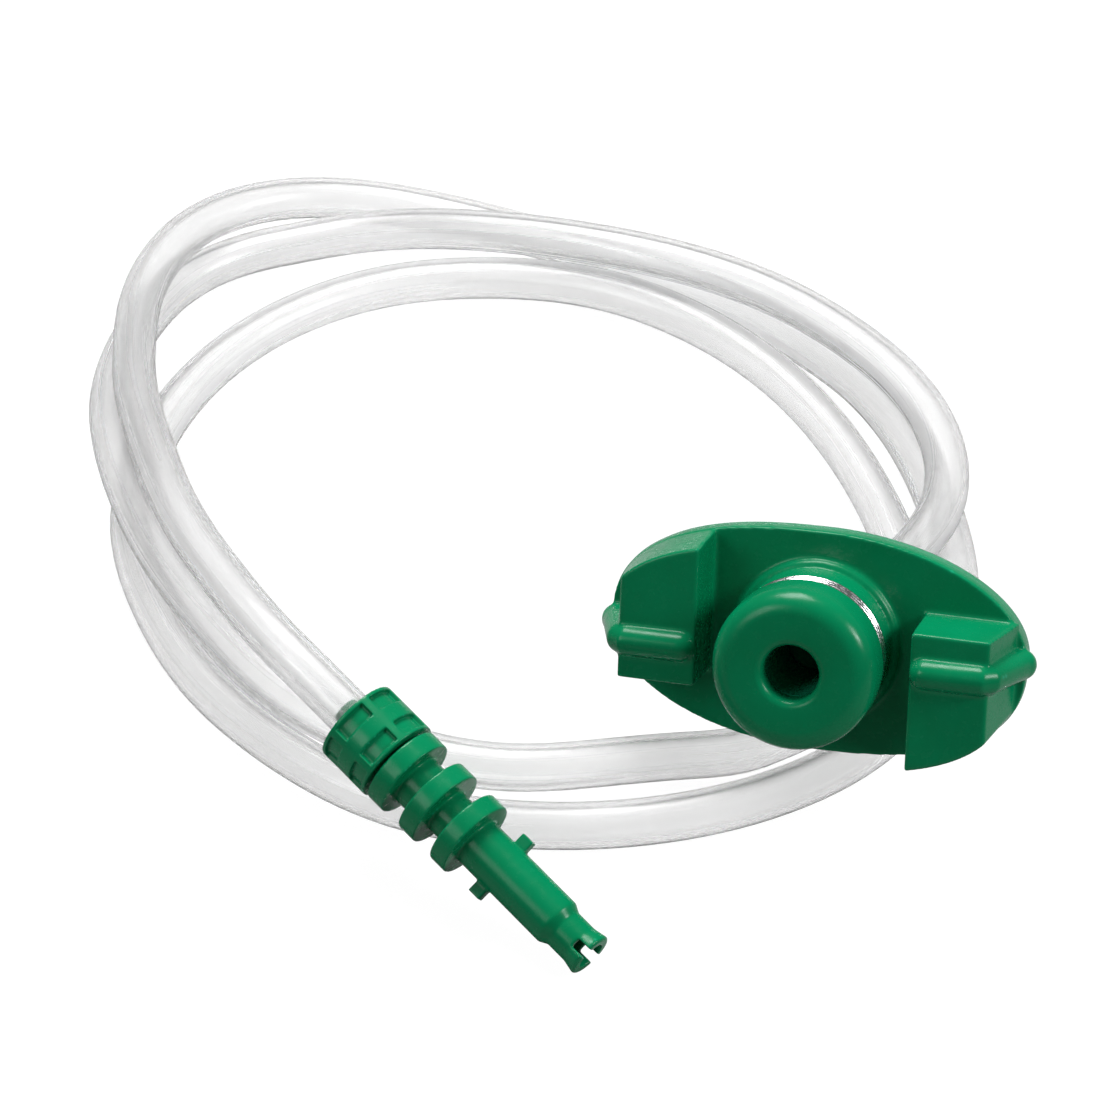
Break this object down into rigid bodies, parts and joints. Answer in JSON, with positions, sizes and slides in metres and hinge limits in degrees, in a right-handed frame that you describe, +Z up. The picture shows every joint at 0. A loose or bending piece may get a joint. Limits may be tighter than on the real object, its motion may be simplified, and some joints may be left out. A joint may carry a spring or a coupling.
{
  "type": "siphon hose",
  "caption": "Coiled clear hose joining a winged head with a sprung push-in nose to a stepped nozzle with a ribbed coupling nut and bayonet lugs.",
  "frame": {"origin": "middle of the footprint of head and nozzle, on the surface that the part lies on", "axes": "+Z up; +X from the nozzle to the head; -Y the way the head's nose and the nozzle's tip point, with the coil behind them on +Y"},
  "size_m": [0.2474, 0.3205, 0.0706],
  "materials": {
    "clear_hose": "clear flexible vinyl",
    "green_plastic": "satin moulded plastic",
    "black_rubber": "matte",
    "spring_steel": "bright stainless steel"
  },
  "bodies": {
    "root": {"hose": "clear_hose", "nozzle_body": "green_plastic", "hose_gasket": "black_rubber", "wing_body": "green_plastic", "rear_cover": "green_plastic", "cover_screw_1": "spring_steel", "cover_screw_2": "spring_steel", "cover_screw_3": "spring_steel", "cover_screw_4": "spring_steel", "cover_gasket": "black_rubber", "sleeve_o_ring": "black_rubber", "return_spring": "spring_steel", "hose_barb": "green_plastic", "barb_washer": "black_rubber", "hose_clamp": "spring_steel"},
    "nose": {"nose_bumper": "green_plastic", "plunger_sleeve": "green_plastic", "valve_disc": "green_plastic", "valve_seal": "black_rubber"},
    "collet": {"collet": "green_plastic"},
    "nut": {"coupling_nut": "green_plastic"}
  },
  "joints": [
    {"name": "nose_press", "type": "slide", "parent": "root", "child": "nose", "axis": [0.2803, 0.8782, -0.3875], "range_m": [0, 0.0022], "stiffness_N_per_m": 600, "deforming": ["return_spring"]},
    {"name": "collet_slide", "type": "slide", "parent": "root", "child": "collet", "axis": [-0.6865, 0.6469, 0.3322], "range_m": [0, 0.002]},
    {"name": "nut_turn", "type": "hinge", "parent": "collet", "child": "nut", "pos_m": [-0.07981, 0.00476, 0.0334], "axis": [-0.6865, 0.6469, 0.3322], "range_deg": [0, 360]}
  ],
  "couplings": [
    {"joint": "collet_slide", "follows": "nut_turn", "m_per_rad": 0.000318}
  ]
}
